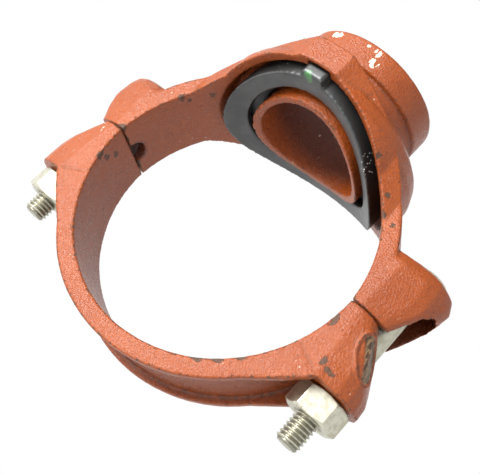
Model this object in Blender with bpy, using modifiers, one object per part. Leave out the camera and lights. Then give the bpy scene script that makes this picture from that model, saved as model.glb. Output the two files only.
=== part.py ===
"""Bolted branch outlet coupling: a two-piece cast clamp for a 114.3 mm pipe with a 60.3 mm grooved outlet.

Frame, in metres: origin where the run pipe's axis meets the outlet's axis, Y along the run pipe,
X across the two bolts, Z up the outlet. The halves rest drawn together with no pipe between them,
so the strap's own bore centre lies CLOSED_BY above the origin.
"""

import math

import bmesh
import bpy
from mathutils import Matrix, Vector

MM = 0.001

# Run pipe and rings
PIPE_R = 57.15 * MM  # 114.3 mm pipe
BORE_R = PIPE_R + 0.3 * MM
RING_R = 64.4 * MM
HALF_WIDTH = 16.4 * MM
CLOSED_BY = 4.0 * MM
PARTING_Z = 4.0 * MM
PARTING_GAP = 0.4 * MM
WEB_R = RING_R - 3.0 * MM
FLANGE = 3.2 * MM
WEB_STOP_Z = -19.0 * MM

# Outlet and its boss
OUTLET_R = 60.3 / 2 * MM
OUTLET_END_Z = 85.4 * MM
SHOULDER_Z = 73.8 * MM
GROOVE_WIDTH = 8.0 * MM
GROOVE_R = 57.15 / 2 * MM
BRANCH_R = 23.3 * MM
BRANCH_END_R = 25.2 * MM
COLLAR_R = 26.5 * MM
COLLAR_REACH_R = 50.6 * MM
SKIRT_FRONT_Y = 43.5 * MM
SKIRT_CREASE_X = 8.0 * MM
SKIRT_SIDE_X = 47.5 * MM
SKIRT_ROOF_Z = 68.0 * MM
DOME = ((37.5, 63.2), (41.6, 59.4), (43.8, 54.0), (44.2, 46.0), (44.2, 30.0))  # radius and z, in mm
END_CHAMFER = 0.8 * MM

# Gasket and its pocket
POCKET_R = 38.3 * MM
POCKET_MOUTH_R = 41.3 * MM
CEILING_R = 62.5 * MM
GASKET_R = 37.7 * MM
GASKET_LIP_R = 29.6 * MM
GASKET_BASE_R = 27.0 * MM
GASKET_FACE_R = 53.0 * MM
UNDERCUT_DEPTH = 3.6 * MM
UNDERCUT_TOP_R = CEILING_R - 4.2 * MM
LIP_THICK = 2.4 * MM
TAB_HALF = 4.6 * MM
TAB_END_Y = 41.2 * MM
NOTCH_R = 5.4 * MM
NOTCH_Y = 1.5 * MM

# Bolts, nuts and lugs
BOLT_X = 68.7 * MM
BOLT_R = 9.525 / 2 * MM  # 3/8 inch, 16 threads to the inch
BOLT_END_Z = {"left": -41.8 * MM, "right": -45.0 * MM}
POINT_R = BOLT_R - 0.9 * MM
POINT_HEIGHT = 1.0 * MM
HEAD_R = 7.7 * MM
HEAD_HEIGHT = 1.9 * MM
HEAD_RIM = 0.8 * MM
NECK_STRETCH = 1.6 * MM
NECK_HEIGHT = 4.5 * MM
NUT_FLATS = 18.4 * MM
NUT_HEIGHT = 9.7 * MM
NUT_CHAMFER = 1.3 * MM
NUT_BORE_R = BOLT_R + 0.3 * MM
NUT_TURN = {"left": math.radians(20), "right": math.radians(8)}
SEAT_TOP_Z = 30.5 * MM
SEAT_NUT_Z = -23.8 * MM
HOLE_R = 5.4 * MM
CLEAR = 0.3 * MM

# Lug outlines at several heights, in mm: (z, half of the outline as points (x, y))
OUTLET_LUG = (
    (3.0, ((50, 16.4), (61.2, 16.4), (68.4, 13.2), (70.9, 10.8), (71.8, 7.0))),
    (10.7, ((50, 16.4), (61.6, 16.4), (71.6, 12.8), (74.6, 10.9), (76.2, 7.5))),
    (17.2, ((62.0, 16.4), (73.2, 12.5), (77.0, 10.2), (79.2, 7.0), (80.6, 2.5))),
    (25.0, ((50, 16.4), (62.3, 16.4), (72.0, 13.0), (76.2, 10.2), (79.0, 7.0), (81.6, 3.5), (82.6, 0))),
    (29.0, ((52, 14.0), (61, 14.0), (70.0, 12.0), (75.7, 9.0), (78.6, 6.0), (80.6, 2.5))),
    (30.5, ((59, 8.5), (62.5, 9.8), (67.4, 10.6), (71.5, 9.8), (74.9, 7.5), (77.3, 4.0), (78.0, 0))),
)
STRAP_LUG = (
    (5.0, ((50, 16.4), (61.6, 16.4), (65.6, 14.6), (67.8, 11.8), (68.3, 6.0))),
    (-4.0, ((62.7, 16.4), (69.6, 14.2), (72.4, 11.6), (73.0, 6.0))),
    (-9.0, ((63.2, 16.4), (71.6, 14.0), (74.9, 11.2), (75.7, 5.5))),
    (-14.0, ((63.8, 16.4), (72.8, 13.7), (76.6, 10.4), (78.2, 6.0), (78.6, 0))),
    (-19.0, ((64.3, 16.4), (73.2, 13.5), (77.0, 10.2), (79.8, 6.0), (81.0, 0))),
    (-23.8, ((57, 16.4), (64.9, 16.4), (73.0, 13.2), (77.2, 10.0), (80.0, 6.0), (81.3, 0))),
)
OUTLET_BEVEL = ((-1.0, (60.9, 16.4), (67.0, 13.6)), (19.0, (62.0, 16.4), (73.0, 12.5)))
STRAP_BEVEL = ((8.0, (61.2, 16.4), (65.0, 14.6)), (-10.0, (63.2, 16.4), (71.0, 14.0)))
LUG_POCKET_MOUTH = ((62.0, 8.4), (74.0, 8.0), (86.0, 4.6))
LUG_POCKET_TOP_Z = 24.0 * MM
LUG_POCKET_TOP = (62.0, 9.6, 69.3, 10.4)
GUSSET = (
    (54.0, -20.0),
    (65.0, -23.8),
    (64.8, -24.9),
    (59.8, -29.8),
    (54.9, -33.9),
    (46.5, -40.6),
    (44.0, -38.0),
)

# Cutters run past what they cut by these amounts
OVERLAP = 1.0 * MM
CHANNEL_MARGIN = 9.0 * MM
CUTTER_HALF = 60.0 * MM
CUTTER_LOW_Z = 20.0 * MM
CUTTER_HIGH_Z = 80.0 * MM

RUN_SIDES = 96
ROUND_SIDES = 48
SMALL_SIDES = 24

SIDES = {"left": -1, "right": 1}


def clear_scene():
    for obj in list(bpy.data.objects):
        bpy.data.objects.remove(obj)
    for group in list(bpy.data.collections):
        bpy.data.collections.remove(group)


def new_collection(name):
    group = bpy.data.collections.new(name)
    bpy.context.scene.collection.children.link(group)
    return group


def material(name, colour, roughness, metallic=0.0):
    made = bpy.data.materials.new(name)
    made.use_nodes = True
    shader = made.node_tree.nodes["Principled BSDF"]
    shader.inputs["Base Color"].default_value = (*colour, 1.0)
    shader.inputs["Roughness"].default_value = roughness
    shader.inputs["Metallic"].default_value = metallic
    return made


def object_from(name, bm, group):
    mesh = bpy.data.meshes.new(name)
    bm.normal_update()
    bmesh.ops.recalc_face_normals(bm, faces=bm.faces)
    bm.to_mesh(mesh)
    bm.free()
    obj = bpy.data.objects.new(name, mesh)
    group.objects.link(obj)
    return obj


def helper(name, bm):
    """A shape that only cuts or joins another, so it is never drawn."""
    obj = object_from(name, bm, bpy.data.collections["helpers"])
    obj.hide_render = True
    obj.display_type = "WIRE"
    return obj


def cylinder(radius, low, high, sides, axis="Z", centre=(0.0, 0.0), top_radius=None):
    """A closed cylinder or cone from low to high along an axis, through centre in the plane across it."""
    bm = bmesh.new()
    bmesh.ops.create_cone(
        bm,
        cap_ends=True,
        segments=sides,
        radius1=radius,
        radius2=radius if top_radius is None else top_radius,
        depth=high - low,
    )
    middle = (low + high) / 2
    for vert in bm.verts:
        x, y, z = vert.co
        if axis == "Z":
            vert.co = (x + centre[0], y + centre[1], z + middle)
        elif axis == "Y":
            vert.co = (x + centre[0], middle - z, y + centre[1])
        else:
            vert.co = (z + middle, x + centre[0], y + centre[1])
    return bm


def box(low, high):
    bm = bmesh.new()
    bmesh.ops.create_cube(bm, size=1.0)
    size = Vector(high) - Vector(low)
    middle = (Vector(high) + Vector(low)) / 2
    bmesh.ops.transform(
        bm, matrix=Matrix.Translation(middle) @ Matrix.Diagonal((*size, 1.0)), verts=bm.verts
    )
    return bm


def hull(points):
    """The convex solid round a set of points: a loft between the sections that they lie on."""
    bm = bmesh.new()
    for point in points:
        bm.verts.new(point)
    made = bmesh.ops.convex_hull(bm, input=bm.verts)
    inside = made["geom_interior"] + made["geom_unused"]
    spare = {item for item in inside if isinstance(item, bmesh.types.BMVert)}
    bmesh.ops.delete(bm, geom=list(spare), context="VERTS")
    bmesh.ops.dissolve_limit(bm, angle_limit=math.radians(0.05), verts=bm.verts, edges=bm.edges)
    bmesh.ops.triangulate(bm, faces=bm.faces)
    return bm


def turned(name, profile, sides, x=0.0):
    """A solid of revolution about a line along Z at x, from (radius, z) points, top to bottom."""
    bm = bmesh.new()
    verts = [bm.verts.new((radius, 0.0, z)) for radius, z in profile]
    for first, second in zip(verts, verts[1:]):
        bm.edges.new((first, second))
    obj = helper(name, bm)
    obj.location.x = x
    screw = obj.modifiers.new("turn", "SCREW")
    screw.steps = screw.render_steps = sides
    screw.use_merge_vertices = True
    screw.merge_threshold = 1e-5
    return obj


def combine(obj, other, operation):
    modifier = obj.modifiers.new(operation.lower() + " " + other.name, "BOOLEAN")
    modifier.operation = operation
    modifier.object = other
    modifier.solver = "EXACT"


def finish(obj, paint):
    obj.data.materials.append(paint)
    obj.data.shade_smooth()
    obj.data.set_sharp_from_angle(angle=math.radians(30))
    return obj


def arc(centre_x, radius, z, spread=80, count=13):
    """Points of a rounded end that faces +X."""
    angles = [math.radians(-spread + 2 * spread * i / (count - 1)) for i in range(count)]
    return [(centre_x + radius * math.cos(a), radius * math.sin(a), z) for a in angles]


def both_ways(half, z):
    """Points (x, y) in mm and their twins at -y, all at height z in mm."""
    return [(x * MM, way * y * MM, z * MM) for x, y in half for way in (-1, 1)]


def lug(outlines, side):
    return hull(mirrored([point for z, half in outlines for point in both_ways(half, z)], side))


def cut_ring_corners(ring, bevel, kind):
    """Takes off the ring's outer corners beside each lug, so that only the lug's own side shows there."""
    for name, side in SIDES.items():
        for face_name, face in (("front", -1), ("back", 1)):
            points = []
            for z, *line in bevel:
                points += [(x, face * (y - 0.05), z) for x, y in line]
                points += [(x, face * (HALF_WIDTH / MM + 1.0), z) for x, y in line]
            points = [(side * x * MM, y * MM, z * MM) for x, y, z in points]
            wedge = helper(f"{kind}_corner_{name}_{face_name}", hull(points))
            combine(ring, wedge, "DIFFERENCE")


def mirrored(points, side):
    return [(side * x, y, z) for x, y, z in points]


def slot_points(x, radius, stretch, low, high):
    """An upright oval hole or neck, longer along X."""
    turn = [2 * math.pi * i / SMALL_SIDES for i in range(SMALL_SIDES)]
    return [
        (x + math.copysign(stretch, math.cos(a)) + radius * math.cos(a), radius * math.sin(a), z)
        for a in turn
        for z in (low, high)
    ]


def run_cylinder(name, radius, centre_z=0.0, half_length=CUTTER_HALF):
    shape = cylinder(radius, -half_length, half_length, RUN_SIDES, "Y", (0.0, centre_z))
    return helper(name, shape)


def upright_cylinder(name, radius, low=CUTTER_LOW_Z, high=CUTTER_HIGH_Z):
    return helper(name, cylinder(radius, low, high, ROUND_SIDES * 2))


def outlet_lug_pocket(side):
    """The hollow under an outlet lug, open downwards and outwards, which shows the bolt's shank."""
    inner_x, half, round_x, round_r = (value * MM for value in LUG_POCKET_TOP)
    points = both_ways(LUG_POCKET_MOUTH, -2.0)
    points += [(inner_x, y, LUG_POCKET_TOP_Z) for y in (-half, half)]
    return hull(mirrored(points + arc(round_x, round_r, LUG_POCKET_TOP_Z), side))


def strap_gusset(side, face):
    """The end of a ring flange, which carries the lug's side past the nut seat."""
    edges = (HALF_WIDTH, HALF_WIDTH - FLANGE)
    points = [(x * MM, face * y, z * MM) for x, z in GUSSET for y in edges]
    return hull(mirrored(points, side))


def make_outlet_housing(group, paint):
    ring = object_from(
        "outlet_housing", cylinder(RING_R, -HALF_WIDTH, HALF_WIDTH, RUN_SIDES, "Y"), group
    )
    cut_ring_corners(ring, OUTLET_BEVEL, "outlet")
    for name, side in SIDES.items():
        combine(ring, helper("outlet_lug_" + name, lug(OUTLET_LUG, side)), "UNION")

    # Boss: a six-sided skirt under a cylindrical roof, with a round dome and the grooved neck above it
    plan = [(SKIRT_CREASE_X, SKIRT_FRONT_Y), (SKIRT_SIDE_X, HALF_WIDTH)]
    corners = [(sx * x, sy * y) for x, y in plan for sx in (-1, 1) for sy in (-1, 1)]
    heights = (25 * MM, SKIRT_ROOF_Z + 5 * MM)
    skirt = helper("skirt", hull([(x, y, z) for x, y in corners for z in heights]))
    edge_z = math.sqrt(RING_R**2 - SKIRT_SIDE_X**2)
    roof_r = ((SKIRT_ROOF_Z - edge_z) ** 2 + SKIRT_SIDE_X**2) / (2 * (SKIRT_ROOF_Z - edge_z))
    combine(skirt, run_cylinder("skirt_roof", roof_r, SKIRT_ROOF_Z - roof_r), "INTERSECT")
    combine(ring, skirt, "UNION")
    groove_low = SHOULDER_Z - GROOVE_WIDTH
    dome = [(radius * MM, z * MM) for radius, z in DOME]
    neck = [
        (0.0, OUTLET_END_Z),
        (OUTLET_R - END_CHAMFER, OUTLET_END_Z),
        (OUTLET_R, OUTLET_END_Z - END_CHAMFER),
        (OUTLET_R, SHOULDER_Z),
        (GROOVE_R, SHOULDER_Z),
        (GROOVE_R, groove_low),
        (OUTLET_R + 2.0 * MM, groove_low - 0.4 * MM),
        *dome,
        (0.0, dome[-1][1]),
    ]
    combine(ring, turned("neck", neck, ROUND_SIDES * 2), "UNION")
    combine(ring, run_cylinder("run_bore", BORE_R), "DIFFERENCE")

    # Gasket pocket, with a recess for the gasket's locating tab
    pocket = helper(
        "pocket",
        cylinder(POCKET_MOUTH_R + 1.5 * MM, 28 * MM, 66 * MM, ROUND_SIDES * 2, top_radius=POCKET_R),
    )
    combine(pocket, run_cylinder("ceiling", CEILING_R), "INTERSECT")
    combine(ring, pocket, "DIFFERENCE")
    tab = TAB_HALF + CLEAR * 1.5
    recess = box((-tab, -TAB_END_Y - CLEAR * 1.5, 40 * MM), (tab, -30 * MM, 59 * MM))
    combine(ring, helper("tab_recess", recess), "DIFFERENCE")

    # Collar that enters the hole in the run pipe, and the branch bore through it
    collar = helper("collar", cylinder(COLLAR_R, 30 * MM, 66 * MM, ROUND_SIDES * 2))
    combine(collar, run_cylinder("collar_end", COLLAR_REACH_R), "DIFFERENCE")
    combine(ring, collar, "UNION")
    bore = helper("branch_bore", cylinder(BRANCH_R, 20 * MM, 70 * MM, ROUND_SIDES * 2))
    combine(ring, bore, "DIFFERENCE")
    flare = cylinder(
        BRANCH_R, 66 * MM, OUTLET_END_Z + 1 * MM, ROUND_SIDES * 2, top_radius=BRANCH_END_R
    )
    combine(ring, helper("branch_flare", flare), "DIFFERENCE")

    floor = PARTING_Z + PARTING_GAP / 2
    below = box((-0.1, -0.06, -0.08), (0.1, 0.06, floor))
    combine(ring, helper("parting_cut", below), "DIFFERENCE")
    for name, side in SIDES.items():
        combine(ring, helper("lug_pocket_" + name, outlet_lug_pocket(side)), "DIFFERENCE")
        hole = slot_points(side * BOLT_X, HOLE_R, NECK_STRETCH, 10 * MM, 40 * MM)
        combine(ring, helper("bolt_slot_" + name, hull(hole)), "DIFFERENCE")
        ends = sorted((side * 54 * MM, side * 65 * MM))
        notch = cylinder(NOTCH_R, ends[0], ends[1], SMALL_SIDES, "X", (NOTCH_Y, floor))
        combine(ring, helper("notch_" + name, notch), "DIFFERENCE")
    return finish(ring, paint)


def make_strap_housing(group, paint):
    ring = cylinder(RING_R, -HALF_WIDTH, HALF_WIDTH, RUN_SIDES, "Y", (0.0, CLOSED_BY))
    strap = object_from("strap_housing", ring, group)

    # Channel round the outside of the ring, between the two flanges, ending at the lugs
    channel = run_cylinder("channel", RING_R + CHANNEL_MARGIN, CLOSED_BY, HALF_WIDTH - FLANGE)
    combine(channel, run_cylinder("web", WEB_R, CLOSED_BY), "DIFFERENCE")
    stop = helper("channel_stop", box((-0.1, -0.03, -0.1), (0.1, 0.03, WEB_STOP_Z)))
    combine(channel, stop, "INTERSECT")
    for name, side in SIDES.items():
        for end, face in (("front", -1), ("back", 1)):
            gusset = helper("gusset_" + name + "_" + end, strap_gusset(side, face))
            combine(strap, gusset, "UNION")
    combine(strap, channel, "DIFFERENCE")
    cut_ring_corners(strap, STRAP_BEVEL, "strap")
    for name, side in SIDES.items():
        combine(strap, helper("strap_lug_" + name, lug(STRAP_LUG, side)), "UNION")
    combine(strap, run_cylinder("strap_bore", BORE_R, CLOSED_BY), "DIFFERENCE")
    top = PARTING_Z - PARTING_GAP / 2
    above = box((-0.1, -0.03, top), (0.1, 0.03, 0.08))
    combine(strap, helper("strap_cut", above), "DIFFERENCE")
    for name, side in SIDES.items():
        hole = slot_points(side * BOLT_X, HOLE_R, NECK_STRETCH / 2, -40 * MM, 20 * MM)
        combine(strap, helper("strap_slot_" + name, hull(hole)), "DIFFERENCE")
    return finish(strap, paint)


def make_gasket(group, rubber):
    """A saddle-shaped sealing ring with an undercut lip and a locating tab."""
    body = cylinder(GASKET_R, 25 * MM, 70 * MM, ROUND_SIDES * 2)
    gasket = object_from("gasket", body, group)
    tab = box((-TAB_HALF, -TAB_END_Y, 40 * MM), (TAB_HALF, -30 * MM, 58.2 * MM))
    combine(gasket, helper("tab", tab), "UNION")
    combine(gasket, run_cylinder("gasket_base", CEILING_R - CLEAR), "INTERSECT")
    combine(gasket, run_cylinder("gasket_face", GASKET_FACE_R), "DIFFERENCE")
    combine(gasket, upright_cylinder("gasket_hole", GASKET_BASE_R), "DIFFERENCE")
    undercut = upright_cylinder("undercut", GASKET_LIP_R + UNDERCUT_DEPTH)
    combine(undercut, run_cylinder("undercut_top", UNDERCUT_TOP_R), "INTERSECT")
    combine(undercut, run_cylinder("undercut_low", GASKET_FACE_R + LIP_THICK), "DIFFERENCE")
    combine(gasket, undercut, "DIFFERENCE")
    lip = upright_cylinder("lip_hole", GASKET_LIP_R)
    combine(lip, run_cylinder("lip_top", GASKET_FACE_R + LIP_THICK + OVERLAP), "INTERSECT")
    combine(gasket, lip, "DIFFERENCE")
    return finish(gasket, rubber)


def make_bolt(name, side, group, zinc):
    """A track bolt: domed head, oval neck that can't turn in the lug, and a round shank."""
    x = side * BOLT_X
    end_z = BOLT_END_Z[name]
    point_top = end_z + POINT_HEIGHT
    shank = cylinder(BOLT_R, point_top, SEAT_TOP_Z + OVERLAP, SMALL_SIDES, centre=(x, 0.0))
    bolt = object_from("bolt_" + name, shank, group)
    point = cylinder(POINT_R, end_z, point_top, SMALL_SIDES, centre=(x, 0.0), top_radius=BOLT_R)
    combine(bolt, helper("point_" + name, point), "UNION")
    neck = slot_points(x, BOLT_R, NECK_STRETCH, SEAT_TOP_Z - NECK_HEIGHT, SEAT_TOP_Z + OVERLAP)
    combine(bolt, helper("neck_" + name, hull(neck)), "UNION")
    seat = SEAT_TOP_Z + CLEAR
    dome = [math.radians(90 * i / 6) for i in range(7)]
    profile = [
        (HEAD_R * math.sin(a), seat + HEAD_RIM + (HEAD_HEIGHT - HEAD_RIM) * math.cos(a))
        for a in dome
    ] + [(HEAD_R, seat), (0.0, seat)]
    combine(bolt, turned("head_" + name, profile, SMALL_SIDES, x), "UNION")
    return finish(bolt, zinc)


def make_nut(name, side, group, zinc):
    """A heavy hexagon nut with chamfered corners and a clearance bore."""
    top = SEAT_NUT_Z - CLEAR
    low = top - NUT_HEIGHT
    corner_r = NUT_FLATS / 2 / math.cos(math.pi / 6)
    x = side * BOLT_X
    body = cylinder(corner_r, low, top, 6)
    bmesh.ops.rotate(body, verts=body.verts, matrix=Matrix.Rotation(NUT_TURN[name], 3, "Z"))
    bmesh.ops.translate(body, verts=body.verts, vec=(x, 0.0, 0.0))
    nut = object_from("nut_" + name, body, group)
    chamfer = [
        (0.0, top + 0.5 * MM),
        (NUT_FLATS / 2 - 0.2 * MM, top + 0.5 * MM),
        (corner_r + 0.2 * MM, top - NUT_CHAMFER),
        (corner_r + 0.2 * MM, low + NUT_CHAMFER),
        (NUT_FLATS / 2 - 0.2 * MM, low - 0.5 * MM),
        (0.0, low - 0.5 * MM),
    ]
    combine(nut, turned("chamfer_" + name, chamfer, ROUND_SIDES, x), "INTERSECT")
    bore = cylinder(NUT_BORE_R, low - OVERLAP, top + OVERLAP, SMALL_SIDES, centre=(x, 0.0))
    combine(nut, helper("nut_bore_" + name, bore), "DIFFERENCE")
    return finish(nut, zinc)


def main():
    clear_scene()
    group = new_collection("branch_outlet_coupling")
    new_collection("helpers")
    paint = material("orange_paint", (0.66, 0.13, 0.045), 0.5)
    rubber = material("black_rubber", (0.03, 0.032, 0.03), 0.45)
    zinc = material("zinc", (0.58, 0.56, 0.47), 0.4, 0.85)
    make_outlet_housing(group, paint)
    make_strap_housing(group, paint)
    make_gasket(group, rubber)
    for name, side in SIDES.items():
        make_bolt(name, side, group, zinc)
        make_nut(name, side, group, zinc)


main()
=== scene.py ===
import math

import bmesh
import bpy
import numpy as np
from mathutils import Matrix, Vector


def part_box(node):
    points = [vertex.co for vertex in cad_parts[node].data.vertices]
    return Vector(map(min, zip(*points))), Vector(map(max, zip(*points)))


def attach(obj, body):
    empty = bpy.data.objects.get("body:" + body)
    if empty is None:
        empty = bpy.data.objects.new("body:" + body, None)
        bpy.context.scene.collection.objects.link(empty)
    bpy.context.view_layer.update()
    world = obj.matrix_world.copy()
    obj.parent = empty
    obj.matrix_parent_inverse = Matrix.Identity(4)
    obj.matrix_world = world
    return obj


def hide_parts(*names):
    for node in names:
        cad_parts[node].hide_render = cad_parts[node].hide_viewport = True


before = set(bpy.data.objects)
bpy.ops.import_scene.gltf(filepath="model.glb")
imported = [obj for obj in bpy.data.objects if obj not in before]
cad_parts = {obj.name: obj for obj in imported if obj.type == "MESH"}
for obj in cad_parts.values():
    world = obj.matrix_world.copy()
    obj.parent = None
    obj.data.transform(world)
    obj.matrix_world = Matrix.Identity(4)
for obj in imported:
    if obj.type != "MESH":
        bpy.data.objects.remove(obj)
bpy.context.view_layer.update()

MM = 0.001
HAIR = 0.001 * MM  # keeps each visual piece just inside its own box
FINE_VOXEL = 0.55 * MM
VOXEL = FINE_VOXEL
EDGE_PASSES = 9

# Sizes shared with the CAD
RUN_BORE_R = 57.45 * MM
RING_R = 64.4 * MM
STRAP_WEB_R = 61.4 * MM
POCKET_CEILING_R = 62.5 * MM
COLLAR_REACH_R = 50.6 * MM
GASKET_FACE_R = 53.0 * MM
BRANCH_R = 23.3 * MM
STRAP_Z = 4.0 * MM  # the strap's own bore centre, drawn up with no pipe between the halves
HALF_WIDTH = 16.4 * MM
BOLT_X = 68.7 * MM
BOLT_R = 9.525 / 2 * MM
PITCH = 25.4 / 16 * MM  # 3/8 inch bolt, 16 threads to the inch


# Camera, floor and light

CAMERA_AT = Vector((130.59, -262.34, -77.07)) * MM
CAMERA_TURN = Vector((1.07203, 0.75057, 0.27646))  # the turn's axis, as long as its angle
FOCAL = 60.146
SENSOR = 36
FLOOR_Z = -0.19
FLOOR_R = 0.5
WALL_TOP = 0.65
CEILING_FROM = 0.9
CEILING_LIGHT = 0.25
KEY_AT = (-0.44, -0.83, 0.11)
KEY_SIZE = (0.3, 0.6)
KEY_POWER = 20.0
WHITE = (1.0, 1.0, 1.0, 1.0)


def place_camera():
    turn = Matrix.Rotation(CAMERA_TURN.length, 3, CAMERA_TURN.normalized())
    right, up, back = Vector(turn[0]), -Vector(turn[1]), -Vector(turn[2])
    camera = bpy.data.objects.new("camera", bpy.data.cameras.new("camera"))
    bpy.context.scene.collection.objects.link(camera)
    place = Matrix((right, up, back)).transposed().to_4x4()
    place.translation = CAMERA_AT
    camera.matrix_world = place
    camera.data.sensor_width = SENSOR
    camera.data.lens = FOCAL
    camera.data.clip_start = 10 * MM
    bpy.context.scene.camera = camera


def light_world():
    """White walls all round under a dimmer ceiling."""
    world = bpy.data.worlds.new("studio")
    bpy.context.scene.world = world
    world.use_nodes = True
    tree = world.node_tree
    place = tree.nodes.new("ShaderNodeTexCoord")
    height = tree.nodes.new("ShaderNodeSeparateXYZ")
    tree.links.new(place.outputs["Generated"], height.inputs["Vector"])
    dim = tree.nodes.new("ShaderNodeMapRange")
    tree.links.new(height.outputs["Z"], dim.inputs["Value"])
    dim.inputs["From Min"].default_value = WALL_TOP
    dim.inputs["From Max"].default_value = CEILING_FROM
    dim.inputs["To Min"].default_value = 1.0
    dim.inputs["To Max"].default_value = CEILING_LIGHT
    background = tree.nodes["Background"]
    background.inputs["Color"].default_value = WHITE
    tree.links.new(dim.outputs["Result"], background.inputs["Strength"])
    bpy.context.scene.view_settings.view_transform = "Standard"


def lay_floor():
    mesh = bpy.data.meshes.new("floor")
    disc = bmesh.new()
    place = Matrix.Translation((0, 0, FLOOR_Z))
    bmesh.ops.create_circle(disc, cap_ends=True, segments=96, radius=FLOOR_R, matrix=place)
    disc.to_mesh(mesh)
    disc.free()
    floor = bpy.data.objects.new("floor", mesh)
    bpy.context.scene.collection.objects.link(floor)
    paper = bpy.data.materials.new("floor_paper")
    paper.use_nodes = True
    shader = paper.node_tree.nodes["Principled BSDF"]
    shader.inputs["Base Color"].default_value = WHITE
    shader.inputs["Roughness"].default_value = 1.0
    mesh.materials.append(paper)


def add_key_light():
    light = bpy.data.lights.new("key", "AREA")
    light.shape = "RECTANGLE"
    light.size, light.size_y = KEY_SIZE
    light.energy = KEY_POWER
    softbox = bpy.data.objects.new("key", light)
    bpy.context.scene.collection.objects.link(softbox)
    softbox.location = KEY_AT
    softbox.rotation_mode = "QUATERNION"
    softbox.rotation_quaternion = (-Vector(KEY_AT)).to_track_quat("-Z", "Y")


# Materials

ENAMEL = (0.275, 0.054, 0.006)
ENAMEL_AGED = (0.235, 0.044, 0.005)
ENAMEL_PALE = (0.30, 0.070, 0.015)
ENAMEL_DEEP = (0.17, 0.030, 0.009)
ENAMEL_SHADED = (0.060, 0.012, 0.006)
PIT = (0.06, 0.018, 0.010)
CREVICE_DARK = (0.05, 0.020, 0.012)
RUST_BLACK = (0.035, 0.014, 0.007)
RUST_BROWN = (0.12, 0.055, 0.025)
IRON_DARK = (0.05, 0.022, 0.010)
IRON_BRIGHT = (0.27, 0.155, 0.07)
SCRAPED_CREAM = (0.74, 0.66, 0.56)
RUBBER = (0.034, 0.036, 0.036)
RUBBER_GREY = (0.056, 0.059, 0.059)
RUBBER_WALL_SHADE = (0.004, 0.005, 0.005)
DUST = (0.25, 0.25, 0.24)
SPECK_AND_GLINT = (0.75, 0.75, 0.72)
GREEN_MARK = (0.05, 0.17, 0.055)
ZINC = (0.61, 0.595, 0.485)
ZINC_DULL = (0.47, 0.45, 0.345)
ZINC_STAIN = (0.18, 0.155, 0.10)
THREAD_PAINTED_SHADE = (0.10, 0.095, 0.075)


class Finish:
    """Short calls that build one material's node tree in object coordinates."""

    def __init__(self, name):
        self.material = bpy.data.materials.new(name)
        self.material.use_nodes = True
        self.tree = self.material.node_tree
        self.shader = self.tree.nodes["Principled BSDF"]
        self.place = self.add("ShaderNodeTexCoord").outputs["Object"]

    def add(self, kind, inputs=None, **settings):
        node = self.tree.nodes.new(kind)
        for key, value in settings.items():
            setattr(node, key, value)
        for key, value in (inputs or {}).items():
            self.put(node.inputs[key], value)
        return node

    def put(self, socket, value):
        if isinstance(value, bpy.types.NodeSocket):
            self.tree.links.new(value, socket)
        elif isinstance(value, tuple) and len(value) == 3 and socket.type == "RGBA":
            socket.default_value = (*value, 1.0)
        else:
            socket.default_value = value

    def noise(self, size, detail=2.0, roughness=0.5, stretch=None):
        place = self.place
        if stretch:
            place = self.add("ShaderNodeMapping", {"Vector": place, "Scale": stretch}).outputs["Vector"]
        inputs = {"Vector": place, "Scale": 1 / size, "Detail": detail, "Roughness": roughness}
        return self.add("ShaderNodeTexNoise", inputs).outputs["Fac"]

    def cells(self, size):
        inputs = {"Vector": self.place, "Scale": 1 / size}
        return self.add("ShaderNodeTexVoronoi", inputs).outputs["Distance"]

    def step(self, value, low, high):
        """0 below low and 1 above high."""
        inputs = {"Value": value, "From Min": low, "From Max": high}
        return self.add("ShaderNodeMapRange", inputs, interpolation_type="SMOOTHSTEP").outputs["Result"]

    def between(self, value, low, high):
        """Low where the value is 0 and high where it is 1."""
        inputs = {"Value": value, "To Min": low, "To Max": high}
        return self.add("ShaderNodeMapRange", inputs).outputs["Result"]

    def math(self, operation, first, second):
        return self.add("ShaderNodeMath", {0: first, 1: second}, operation=operation).outputs[0]

    def plus(self, first, second):
        return self.math("ADD", first, second)

    def times(self, first, second):
        return self.math("MULTIPLY", first, second)

    def rest(self, value):
        return self.math("SUBTRACT", 1.0, value)

    def mix(self, share, first, second):
        inputs = {0: share, 6: first, 7: second}
        return self.add("ShaderNodeMix", inputs, data_type="RGBA").outputs[2]

    def layer(self, name):
        return self.add("ShaderNodeAttribute", attribute_name=name).outputs["Fac"]

    def bump(self, height, depth, normal=None):
        inputs = {"Height": height, "Distance": depth, "Strength": 1.0}
        if normal is not None:
            inputs["Normal"] = normal
        return self.add("ShaderNodeBump", inputs).outputs["Normal"]

    def set(self, **values):
        for key, value in values.items():
            self.put(self.shader.inputs[key.replace("_", " ").title().replace("Ior", "IOR")], value)
        return self.material


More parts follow.
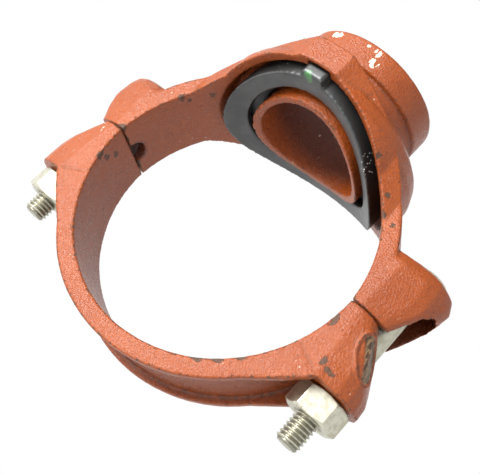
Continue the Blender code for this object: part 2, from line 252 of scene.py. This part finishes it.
def paint_material():
    made = Finish("enamel_on_cast_iron")
    tone = made.mix(made.step(made.noise(38 * MM, 3), 0.38, 0.64), ENAMEL, ENAMEL_AGED)
    mottle = made.step(made.noise(5 * MM, 4, 0.6), 0.35, 0.7)
    tone = made.mix(made.times(mottle, 0.3), tone, ENAMEL_PALE)
    grain = made.noise(0.85 * MM, 3, 0.7)
    tone = made.mix(made.times(made.step(grain, 0.52, 0.66), 0.55), tone, ENAMEL_DEEP)
    pits = made.rest(made.step(made.cells(2.3 * MM), 0.09, 0.16))
    pits = made.times(pits, made.step(made.noise(4 * MM, 2), 0.45, 0.6))
    tone = made.mix(made.times(pits, 0.8), tone, PIT)
    tone = made.mix(made.times(made.layer("shade"), 0.8), tone, ENAMEL_SHADED)
    # Darker in inside corners, broken up by noise
    darkening = made.times(made.layer("crevice"), made.step(made.noise(2.2 * MM, 4, 0.6), 0.3, 0.6))
    tone = made.mix(made.times(darkening, 0.85), tone, CREVICE_DARK)

    # Chips down to rust, mostly on edges and where the rust layer says so
    chip_noise = made.noise(1.2 * MM, 5, 0.7)
    wear = made.plus(chip_noise, made.times(made.layer("edge"), 0.25))
    wear = made.plus(wear, made.times(made.layer("rust"), 0.33))
    chips = made.step(wear, 0.735, 0.775)
    tone = made.mix(chips, tone, made.mix(made.noise(0.9 * MM), RUST_BLACK, RUST_BROWN))

    # Ground iron, then the scrapes that show cream primer
    grinding = made.step(made.noise(1.0 * MM, 4, 0.7, (1.0, 1.0, 0.3)), 0.42, 0.6)
    bare = made.plus(made.layer("bare"), made.times(made.plus(chip_noise, -0.5), 0.8))
    tone = made.mix(made.step(bare, 0.45, 0.55), tone, made.mix(grinding, IRON_DARK, IRON_BRIGHT))
    scrape = made.noise(1.3 * MM, 4, 0.6, (0.8, 0.8, 0.3))
    scrape = made.plus(scrape, made.times(made.layer("scrape"), 0.24))
    tone = made.mix(made.step(scrape, 0.70, 0.74), tone, SCRAPED_CREAM)

    rough = made.plus(made.between(mottle, 0.26, 0.34), made.times(chips, 0.25))
    normal = made.bump(grain, 0.45 * MM)
    normal = made.bump(made.noise(2.6 * MM, 2), 0.12 * MM, normal)
    normal = made.bump(made.rest(chips), 0.12 * MM, normal)
    return made.set(base_color=tone, roughness=rough, normal=normal, specular_ior_level=0.42)


def rubber_material():
    made = Finish("moulded_rubber")
    tone = made.mix(made.step(made.noise(9 * MM, 3), 0.4, 0.65), RUBBER, RUBBER_GREY)
    dust = made.step(made.noise(0.9 * MM, 3, 0.7), 0.70, 0.74)
    tone = made.mix(made.times(dust, 0.5), tone, DUST)
    # Painted shade: the walls facing to or from the branch's centre line are made darker than the
    # sealing face
    tone = made.mix(made.times(made.layer("wall"), 0.9), tone, RUBBER_WALL_SHADE)
    # White specks, partly real specks on the rubber and partly painted glints
    speck_glints = made.rest(made.step(made.cells(1.3 * MM), 0.10, 0.22))
    speck_glints = made.times(speck_glints, made.step(made.layer("specks_and_glints"), 0.1, 0.4))
    tone = made.mix(speck_glints, tone, SPECK_AND_GLINT)
    stripe = made.times(made.layer("stripe"), made.step(made.noise(1.6 * MM, 3), 0.3, 0.5))
    tone = made.mix(stripe, tone, GREEN_MARK)
    rough = made.between(made.noise(3 * MM, 3), 0.30, 0.45)
    normal = made.bump(made.noise(1.2 * MM, 3), 0.05 * MM)
    return made.set(base_color=tone, roughness=rough, normal=normal)


def zinc_material():
    made = Finish("zinc_plate")
    tone = made.mix(made.step(made.noise(2.6 * MM, 4, 0.6), 0.4, 0.65), ZINC, ZINC_DULL)
    stain = made.step(made.noise(1.1 * MM, 3, 0.6), 0.62, 0.70)
    tone = made.mix(made.times(stain, 0.5), tone, ZINC_STAIN)
    # Painted shade in the thread roots and the nut's bore, and a painted dark reflection on the shank
    # that grows towards the neck
    tone = made.mix(made.times(made.layer("root"), 0.75), tone, THREAD_PAINTED_SHADE)
    rough = made.between(made.noise(1.5 * MM, 3), 0.30, 0.48)
    normal = made.bump(made.noise(0.8 * MM, 3), 0.04 * MM)
    return made.set(base_color=tone, roughness=rough, normal=normal, metallic=0.85)


# Castings and gasket: dense copies of the CAD solids

SWELL = 1.04  # undoes the shrinking of a smoothing pass
SAND_WAVE = (9 * MM, 0.07 * MM)  # size and depth
SAND_GRAIN = (1.6 * MM, 0.045 * MM)


def value_noise(points, size, seed):
    """Smooth random values from -1 to 1 that change over about size."""
    cells = 64
    grid = np.random.default_rng(seed).uniform(-1, 1, (cells, cells, cells))
    place = points / size
    low = np.floor(place).astype(int)
    part = place - low
    part = part * part * (3 - 2 * part)
    total = np.zeros(len(points))
    for corner in np.ndindex(2, 2, 2):
        share = np.prod(np.where(corner, part, 1 - part), axis=1)
        total += share * grid[tuple(((low + corner) % cells).T)]
    return total


class Skin:
    """A copy of a CAD node with small even faces, whose points are worked on as arrays."""

    def __init__(self, name, node):
        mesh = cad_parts[node].data.copy()
        bm = bmesh.new()
        bm.from_mesh(mesh)
        bmesh.ops.remove_doubles(bm, verts=bm.verts, dist=HAIR)
        bm.to_mesh(mesh)
        bm.free()
        mesh.materials.clear()
        self.obj = bpy.data.objects.new(name, mesh)
        bpy.context.scene.collection.objects.link(self.obj)
        remesh = self.obj.modifiers.new("voxels", "REMESH")
        remesh.mode = "VOXEL"
        remesh.voxel_size = VOXEL
        ready = self.obj.evaluated_get(bpy.context.evaluated_depsgraph_get())
        self.obj.data = bpy.data.meshes.new_from_object(ready)
        self.obj.modifiers.clear()
        self.mesh = self.obj.data
        count = len(self.mesh.vertices)
        flat = np.empty(count * 3, np.float32)
        self.mesh.vertices.foreach_get("co", flat)
        self.points = flat.reshape(-1, 3).astype(float)
        self.low, self.high = self.points.min(0), self.points.max(0)
        ends = np.empty(len(self.mesh.edges) * 2, np.int32)
        self.mesh.edges.foreach_get("vertices", ends)
        ends = ends.reshape(-1, 2)
        self.here = np.concatenate([ends[:, 0], ends[:, 1]])
        self.there = np.concatenate([ends[:, 1], ends[:, 0]])
        self.degree = np.bincount(self.here, minlength=count)[:, None]

    def mean(self, points):
        """The mean of each point's neighbours."""
        columns = [np.bincount(self.here, points[self.there, k], len(points)) for k in range(3)]
        return np.stack(columns, 1) / self.degree

    def smooth(self, passes, share=0.5, keep_size=False):
        share = np.broadcast_to(share, len(self.points))[:, None]
        for _ in range(passes):
            self.points = self.points + share * (self.mean(self.points) - self.points)
            if keep_size:
                self.points = self.points - SWELL * share * (self.mean(self.points) - self.points)

    def write(self):
        """Puts the points back into the mesh, within the box that they started from."""
        self.points = np.clip(self.points, self.low + HAIR, self.high - HAIR)
        self.mesh.vertices.foreach_set("co", self.points.astype(np.float32).ravel())
        self.mesh.update()

    def normals(self):
        self.write()
        flat = np.empty(len(self.points) * 3, np.float32)
        self.mesh.vertex_normals.foreach_get("vector", flat)
        return flat.reshape(-1, 3).astype(float)

    def push(self, amount):
        """Moves each point along its own normal."""
        self.points = self.points + self.normals() * amount[:, None]

    def snap_run(self, radius, centre_z=0.0, reach=0.07 * MM):
        """Puts points that lie near a cylinder along Y exactly on it."""
        away = np.hypot(self.points[:, 0], self.points[:, 2] - centre_z)
        close = np.abs(away - radius) < reach
        scale = np.where(close, radius / away, 1.0)
        self.points[:, 0] *= scale
        self.points[:, 2] = centre_z + (self.points[:, 2] - centre_z) * scale

    def store(self, name, values):
        layer = self.mesh.attributes.new(name, "FLOAT", "POINT")
        layer.data.foreach_set("value", values.astype(np.float32))

    def store_curvature(self, full=0.28 * MM):
        """Layers that reach 1 on outside edges and in inside corners."""
        normals = self.normals()
        rounded = self.points
        for _ in range(EDGE_PASSES):
            rounded = 0.5 * rounded + 0.5 * self.mean(rounded)
        bend = np.sum((rounded - self.points) * normals, axis=1) / full
        self.store("edge", np.clip(-bend, 0, 1))
        self.store("crevice", np.clip(bend, 0, 1))

    def finish(self, material, node, body):
        self.write()
        self.mesh.materials.append(material)
        self.mesh.shade_smooth()
        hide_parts(node)
        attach(self.obj, body)


def ramp(values, low, high):
    """0 up to low and 1 from high, with a smooth rise between."""
    share = np.clip((values - low) / (high - low), 0, 1)
    return share * share * (3 - 2 * share)


def near(points, centre, radii):
    """1 at centre, falling to 0 at the radii along X, Y and Z. Both are in mm."""
    away = np.linalg.norm((points - np.array(centre) * MM) / (np.array(radii) * MM), axis=1)
    return np.clip(1 - away, 0, 1)


def spots(points, marks):
    """How strongly any of the marks, each (centre, radii), covers each point."""
    return ramp(np.max([near(points, centre, radii) for centre, radii in marks], axis=0), 0, 0.6)


def sand_cast(skin, seed):
    wave_size, wave_depth = SAND_WAVE
    grain_size, grain_depth = SAND_GRAIN
    waves = value_noise(skin.points, wave_size, seed)
    grains = value_noise(skin.points, grain_size, seed + 1)
    skin.push(wave_depth * waves + grain_depth * grains)


def lug_mask(skin, inner_x):
    """1 on the lugs' outer skin, 0 near their front and back creases and the parting plane."""
    x, y = np.abs(skin.points[:, 0]), np.abs(skin.points[:, 1])
    clear_of_parting = np.abs(skin.points[:, 2] - STRAP_Z)
    return (
        ramp(x, inner_x, inner_x + 5 * MM)
        * ramp(HALF_WIDTH - y, 0.8 * MM, 2.2 * MM)
        * ramp(clear_of_parting, 1.2 * MM, 3 * MM)
    )


def round_off(skin, lug_inner_x):
    """Evens out the lugs' facets, then takes the sharpness off every edge but the parting edges."""
    skin.smooth(40, 0.5 * lug_mask(skin, lug_inner_x), keep_size=True)
    off_parting = ramp(np.abs(skin.points[:, 2] - STRAP_Z), 0.6 * MM, 1.4 * MM)
    skin.smooth(2, 0.5 * off_parting)


# Outlet casting. Each mark is its middle and its reach along X, Y and Z, in mm.

OUTLET_LUG_X = 62 * MM
OUTLET_CHIPS = (
    ((-58.1, -15.5, 4.6), (2.0, 3.0, 2.4)),
    ((-58.6, -9.0, 4.6), (2.0, 3.0, 1.8)),
    ((-58.5, 10.0, 4.6), (2.0, 4.0, 1.6)),
    ((-49.3, -15.0, 29.4), (2.0, 2.6, 1.6)),
    ((-47.6, -12.8, 31.6), (2.4, 1.8, 1.6)),
    ((-42.0, -12.9, 39.2), (2.4, 2.4, 1.8)),
    ((34.5, -29.0, 48.0), (2.0, 3.0, 2.4)),
    ((43.2, -19.4, 41.3), (1.8, 2.0, 1.8)),
    ((46.3, -17.2, 35.2), (1.6, 2.0, 1.6)),
    ((50.6, -16.4, 34.1), (1.6, 1.6, 1.6)),
    ((-62.0, -15.0, 29.0), (3.0, 2.0, 1.6)),
    ((-11.0, -43.0, 54.0), (2.6, 2.0, 2.0)),
)
OUTLET_SCRAPES = (
    ((-13.0, -27.2, 82.4), (5.0, 4.0, 2.4)),
    ((5.6, -29.6, 82.6), (6.0, 4.0, 2.6)),
    ((8.2, -29.0, 77.8), (4.5, 3.0, 3.0)),
)
PARTING_NOTCH = ((-60.5, 1.5, 7.0), (7.0, 8.5, 5.5))
POCKET_REACH = 18 * MM
POCKET_INNER_X = 59 * MM
POCKET_SHADE = 0.85


def shaded_hollows(skin):
    """Darkest in the branch bore, in the notch by the left bolt and in the lugs' bolt pockets."""
    x, y, z = skin.points.T
    bore = ramp(BRANCH_R + 1.5 * MM - np.hypot(x, y), 0, 0.5 * MM) * ramp(z, 48 * MM, 60 * MM)
    notch = ramp(near(skin.points, *PARTING_NOTCH), 0, 0.4)
    from_bolt = np.stack([x - np.sign(x) * BOLT_X, y], axis=1)
    away = np.linalg.norm(from_bolt, axis=1)
    facing_bolt = -np.sum(from_bolt * skin.normals()[:, :2], axis=1) / away
    pocket = ramp(facing_bolt, 0.0, 0.4)
    pocket *= ramp(np.abs(x), POCKET_INNER_X, POCKET_INNER_X + 1 * MM)
    pocket *= ramp(-away, -POCKET_REACH - 1 * MM, -POCKET_REACH)
    return np.maximum(np.maximum(bore, notch), POCKET_SHADE * pocket)


def make_outlet_casting(paint):
    skin = Skin("outlet_casting", "outlet_housing")
    for radius in (RING_R, RUN_BORE_R, POCKET_CEILING_R, COLLAR_REACH_R):
        skin.snap_run(radius)
    round_off(skin, OUTLET_LUG_X)
    sand_cast(skin, 1)
    skin.store_curvature()
    skin.store("rust", spots(skin.points, OUTLET_CHIPS))
    skin.store("scrape", spots(skin.points, OUTLET_SCRAPES))
    skin.store("shade", shaded_hollows(skin))
    skin.finish(paint, "outlet_housing", "outlet_body")


# Strap casting

STRAP_LUG_X = 64 * MM
STRAP_CHIPS = (
    ((64.2, -16.2, -18.6), (1.6, 2.0, 3.0)),
    ((67.5, -15.4, -20.0), (3.6, 2.0, 1.8)),
    ((-55.8, -15.0, -9.6), (2.0, 2.4, 2.6)),
    ((-56.3, -11.0, -7.4), (2.0, 3.2, 2.0)),
    ((-57.0, -7.6, -3.2), (2.0, 2.4, 2.2)),
    ((42.5, -16.2, -35.0), (2.2, 1.6, 1.8)),
    ((37.0, -16.2, -40.2), (3.0, 1.6, 2.2)),
    ((31.0, -16.2, -44.6), (3.4, 1.4, 1.6)),
    ((58.2, -16.2, -5.4), (1.4, 1.6, 4.0)),
)
GATE_MIDDLE = (73.9, -11.2, -7.7)  # mm, as are the gate's sizes below
GATE_OUTWARD = (0.72, -0.66, 0.2)
GATE_ALONG = (0.508, 0.26, -0.824)
GATE_HALF_WIDTH = 5.4
GATE_HALF_LENGTH = 9.0
GATE_LIP = 0.6
SEAM_FROM = (54.5, -18.5)  # x and z in mm
SEAM_RUN = (10.0, -4.8)
SEAM_HALF_WIDTH = 0.7  # mm
SEAM_DEPTH = 0.28 * MM
CHANNEL_SHADE = 0.35


def press_gate_mark(skin):
    """The casting gate's ground stub, an oval with a raised lip. Returns how bare its iron is."""
    outward, along = np.array(GATE_OUTWARD), np.array(GATE_ALONG)
    across = np.cross(outward, along)
    across /= np.linalg.norm(across)
    from_middle = skin.points / MM - np.array(GATE_MIDDLE)
    u, v = from_middle @ across / GATE_HALF_WIDTH, from_middle @ along / GATE_HALF_LENGTH
    out = np.hypot(u, v)
    facing = ramp(skin.normals() @ outward, 0.1, 0.4)
    facing *= ramp(-np.linalg.norm(from_middle, axis=1), -14, -12)
    lip = GATE_LIP * np.exp(-(((out - 0.98) / 0.08) ** 2))
    inside = 1 - ramp(out, 0.84, 0.93)
    rough_face = value_noise(skin.points, 1.6 * MM, 9)
    skin.push(MM * facing * (lip - inside * (0.25 - 0.12 * rough_face)))
    return facing * inside * ramp(u, -0.6, -0.2)


def sink_seams(skin):
    """A faint groove on both faces where each lug's side leaves the ring."""
    x, y, z = skin.points.T / MM
    (from_x, from_z), (run_x, run_z) = SEAM_FROM, SEAM_RUN
    right, up = np.abs(x) - from_x, z - from_z
    along = np.clip((right * run_x + up * run_z) / (run_x**2 + run_z**2), 0, 1)
    away = np.hypot(right - run_x * along, up - run_z * along)
    seam = np.exp(-((away / SEAM_HALF_WIDTH) ** 2)) * ramp(np.abs(y), 16.0, 16.3)
    skin.points[:, 1] -= np.sign(y) * SEAM_DEPTH * seam


def shaded_channel(skin):
    """Darker in the channel that runs round the strap between its two flanges."""
    x, y, z = skin.points.T
    away = np.hypot(x, z - STRAP_Z)
    between_flanges = ramp(HALF_WIDTH - np.abs(y), 2.6 * MM, 3.4 * MM)
    in_groove = ramp(away, 59 * MM, 60 * MM) * ramp(-away, -64 * MM, -63 * MM)
    return CHANNEL_SHADE * between_flanges * in_groove


def make_strap_casting(paint):
    skin = Skin("strap_casting", "strap_housing")
    for radius in (RING_R, RUN_BORE_R, STRAP_WEB_R):
        skin.snap_run(radius, STRAP_Z)
    round_off(skin, STRAP_LUG_X)
    sand_cast(skin, 3)
    bare = press_gate_mark(skin)
    sink_seams(skin)
    skin.store_curvature()
    skin.store("rust", spots(skin.points, STRAP_CHIPS))
    skin.store("bare", bare)
    skin.store("shade", shaded_channel(skin))
    skin.finish(paint, "strap_housing", "strap_body")


# Gasket

GREEN_STRIPE = ((-1.5, -39.4, 52.9), (2.2, 3.4, 3.0))
# Where the white specks go: partly real specks on the rubber, partly painted glints
GASKET_SPECKS_AND_GLINTS = (
    ((31.0, -21.0, 49.0), (5.0, 7.0, 8.0)),
    ((-14.0, -33.0, 55.0), (4.0, 3.0, 3.0)),
    ((-17.0, -20.0, 52.0), (5.0, 3.0, 3.0)),
)


def gasket_walls(skin):
    """1 on the walls that face to or from the branch's centre line, which get painted shade."""
    flat = skin.points[:, :2] / np.linalg.norm(skin.points[:, :2], axis=1, keepdims=True)
    return ramp(np.abs(np.sum(flat * skin.normals()[:, :2], axis=1)), 0.75, 0.95)


def make_gasket(rubber):
    skin = Skin("gasket_ring", "gasket")
    skin.snap_run(GASKET_FACE_R)
    skin.smooth(4)
    skin.push(0.03 * MM * value_noise(skin.points, 5 * MM, 5))
    skin.store_curvature()
    skin.store("stripe", ramp(near(skin.points, *GREEN_STRIPE), 0.05, 0.3))
    skin.store("specks_and_glints", spots(skin.points, GASKET_SPECKS_AND_GLINTS))
    skin.store("wall", gasket_walls(skin))
    skin.finish(rubber, "gasket", "gasket_body")


# Bolts and nuts

THREAD_DEPTH = 0.92 * MM
THREAD_GAP = 0.12 * MM
THREAD_FLANK = 1.35
THREAD_ROOT = 0.2
THREAD_TOP_Z = -4 * MM
THREAD_STEPS = 12
TIP_RINGS = ((0.6 * MM, 0.25 * MM), (2.6 * MM, 0.2 * MM), (3.3 * MM, 0.02 * MM))  # radius, height
TIP_R = 3.45 * MM
TIP_SLOPE = 0.9
BOLT_SIDES = 72
HEAD_R = 7.7 * MM
HEAD_HEIGHT = 1.9 * MM
HEAD_RIM = 0.8 * MM
HEAD_BEVEL = 0.35 * MM
DOME_RINGS = 14
DOME_END = 0.97  # the last ring leaves a small flat in the middle
NECK_STRETCH = 1.6 * MM
NECK_BELOW_TOP = 6.7 * MM
NUT_SIDES = 144
NUT_FLATS = 18.4 * MM
NUT_HEIGHT = 9.7 * MM
NUT_CHAMFER = 1.3 * MM
NUT_CHAMFER_SLOPE = 1.75
NUT_RING_HEIGHTS = np.array((2.5, 4.0, 5.7, 7.2)) * MM
NUT_MOUTH_R = 6.1 * MM
NUT_FIRST_TURN = 0.4 * MM
NUT_TURN = {"left": 20, "right": 8}  # degrees
SINK_R = 5.4 * MM
SINK_DEPTH = 0.7 * MM
SINK_SLOPE = 0.9


def angles_round(sides):
    return np.arange(sides) * 2 * math.pi / sides


def thread_radius(angle, z, extra=0.0):
    """Radius of the right-hand thread at an angle and height."""
    turn = np.mod(z / PITCH - angle / (2 * math.pi), 1.0)
    crest = np.clip(np.abs(2 * turn - 1) * THREAD_FLANK - THREAD_ROOT, 0, 1)
    return BOLT_R + extra - THREAD_DEPTH * (1 - crest)


def oval(angle, radius, stretch):
    """Radius of a round section whose two halves are moved apart along X by stretch each."""
    c, s = np.abs(np.cos(angle)), np.sin(angle)
    return stretch * c + np.sqrt(radius**2 - (stretch * s) ** 2)


def skin_of_rings(name, x, rings, closed_loop):
    """A mesh through rings of points round a line along Z at x. A ring is (radii, height, painted
    shade).
    """
    bm = bmesh.new()
    painted_shade_layer = bm.verts.layers.float.new("root")
    sides = len(rings[0][0])
    angles = angles_round(sides)
    rows = []
    for radii, z, darkening in rings:
        row = [bm.verts.new((x + r * math.cos(a), r * math.sin(a), z)) for r, a in zip(radii, angles)]
        for vert, value in zip(row, np.broadcast_to(darkening, sides)):
            vert[painted_shade_layer] = value
        rows.append(row)
    pairs = list(zip(rows, rows[1:]))
    if closed_loop:
        pairs.append((rows[-1], rows[0]))
    for low, high in pairs:
        for i in range(sides):
            j = (i + 1) % sides
            bm.faces.new((low[i], low[j], high[j], high[i]))
    if not closed_loop:
        bm.faces.new(rows[0][::-1])
        bm.faces.new(rows[-1])
    bmesh.ops.recalc_face_normals(bm, faces=bm.faces)
    mesh = bpy.data.meshes.new(name)
    bm.to_mesh(mesh)
    bm.free()
    mesh.shade_smooth()
    mesh.set_sharp_from_angle(angle=math.radians(35))
    obj = bpy.data.objects.new(name, mesh)
    bpy.context.scene.collection.objects.link(obj)
    return obj


def bolt_rings(low_z, high_z):
    """The bolt from its tip up: thread, shank, oval neck, and a head with a low dome."""
    angle = angles_round(BOLT_SIDES)
    plain = np.ones(BOLT_SIDES)
    rings = [(plain * radius, low_z + height, 0.2) for radius, height in TIP_RINGS]
    for z in np.arange(low_z + 0.1 * MM, THREAD_TOP_Z, PITCH / THREAD_STEPS):
        cone = TIP_R + (z - low_z) * TIP_SLOPE
        run_out = min(1.0, (THREAD_TOP_Z - z) / PITCH)
        radii = np.minimum(BOLT_R - (BOLT_R - thread_radius(angle, z)) * run_out, cone)
        # The third value is painted shade, strongest in the thread roots
        rings.append((radii, z, np.clip((BOLT_R - radii) / THREAD_DEPTH, 0, 1) * 0.9))

    neck_z = high_z - NECK_BELOW_TOP
    head_z = high_z - HEAD_HEIGHT
    neck = oval(angle, BOLT_R, NECK_STRETCH)
    # The shank's third values are a painted dark reflection that grows towards the neck
    rings += [
        (plain * BOLT_R, THREAD_TOP_Z + 0.2 * MM, 0.2),
        (plain * BOLT_R, neck_z - 4 * MM, 0.25),
        (plain * BOLT_R, neck_z, 0.8),
        (neck * 0.98, neck_z + 0.8 * MM, 0.0),
        (neck, neck_z + 1.4 * MM, 0.0),
        (neck, head_z, 0.0),
        (plain * (HEAD_R - HEAD_BEVEL), head_z, 0.0),
        (plain * HEAD_R, head_z + HEAD_BEVEL, 0.0),
    ]
    rise = HEAD_HEIGHT - HEAD_RIM
    for turn in np.linspace(0, DOME_END, DOME_RINGS):
        a = turn * math.pi / 2
        rings.append((plain * HEAD_R * math.cos(a), high_z - rise + rise * math.sin(a), 0.0))
    return rings


def nut_rings(low_z, high_z, turn):
    """The nut as a closed loop of rings: up the chamfered hexagon and down the threaded bore."""
    angle = angles_round(NUT_SIDES)
    plain = np.ones(NUT_SIDES)
    sixth = math.pi / 3
    hexagon = NUT_FLATS / 2 / np.cos(np.mod(angle - math.radians(turn), sixth) - sixth / 2)
    face_r = NUT_FLATS / 2 - 0.35 * MM
    mouth, face = plain * NUT_MOUTH_R, plain * (face_r - 0.3 * MM)
    chamfer = np.linspace(0, NUT_CHAMFER, 9)
    scale = (high_z - low_z) / NUT_HEIGHT
    rings = [(mouth, low_z, 0.0), (face, low_z, 0.0)]
    for rise in np.concatenate([chamfer, NUT_RING_HEIGHTS, NUT_HEIGHT - chamfer[::-1]]):
        cone = face_r + NUT_CHAMFER_SLOPE * min(rise, NUT_HEIGHT - rise)
        rings.append((np.minimum(hexagon, cone), low_z + rise * scale, 0.0))
    rings += [(face, high_z, 0.0), (mouth, high_z, 0.0)]
    for z in np.arange(high_z - NUT_FIRST_TURN, low_z + NUT_FIRST_TURN, -PITCH / 8):
        from_end = min(high_z - z, z - low_z)
        sunk_r = SINK_R + SINK_SLOPE * (SINK_DEPTH - from_end) if from_end < SINK_DEPTH else 0.0
        # The bore's third value is painted shade in its threads
        rings.append((np.maximum(thread_radius(angle, z, THREAD_GAP), sunk_r), z, 0.6))
    return rings


def finish_fastener(obj, zinc, node, body):
    obj.data.materials.append(zinc)
    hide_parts(node)
    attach(obj, body)


def make_bolt(side, zinc):
    node = "bolt_" + side
    low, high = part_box(node)
    bolt = skin_of_rings(node + "_zinc", (low.x + high.x) / 2, bolt_rings(low.z, high.z), False)
    finish_fastener(bolt, zinc, node, "outlet_body")


def make_nut(side, zinc):
    node = "nut_" + side
    low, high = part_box(node)
    rings = nut_rings(low.z, high.z, NUT_TURN[side])
    nut = skin_of_rings(node + "_zinc", (low.x + high.x) / 2, rings, True)
    finish_fastener(nut, zinc, node, node + "_body")


place_camera()
light_world()
lay_floor()
add_key_light()
enamel = paint_material()
make_outlet_casting(enamel)
make_strap_casting(enamel)
make_gasket(rubber_material())
plate = zinc_material()
for side_name in ("left", "right"):
    make_bolt(side_name, plate)
    make_nut(side_name, plate)
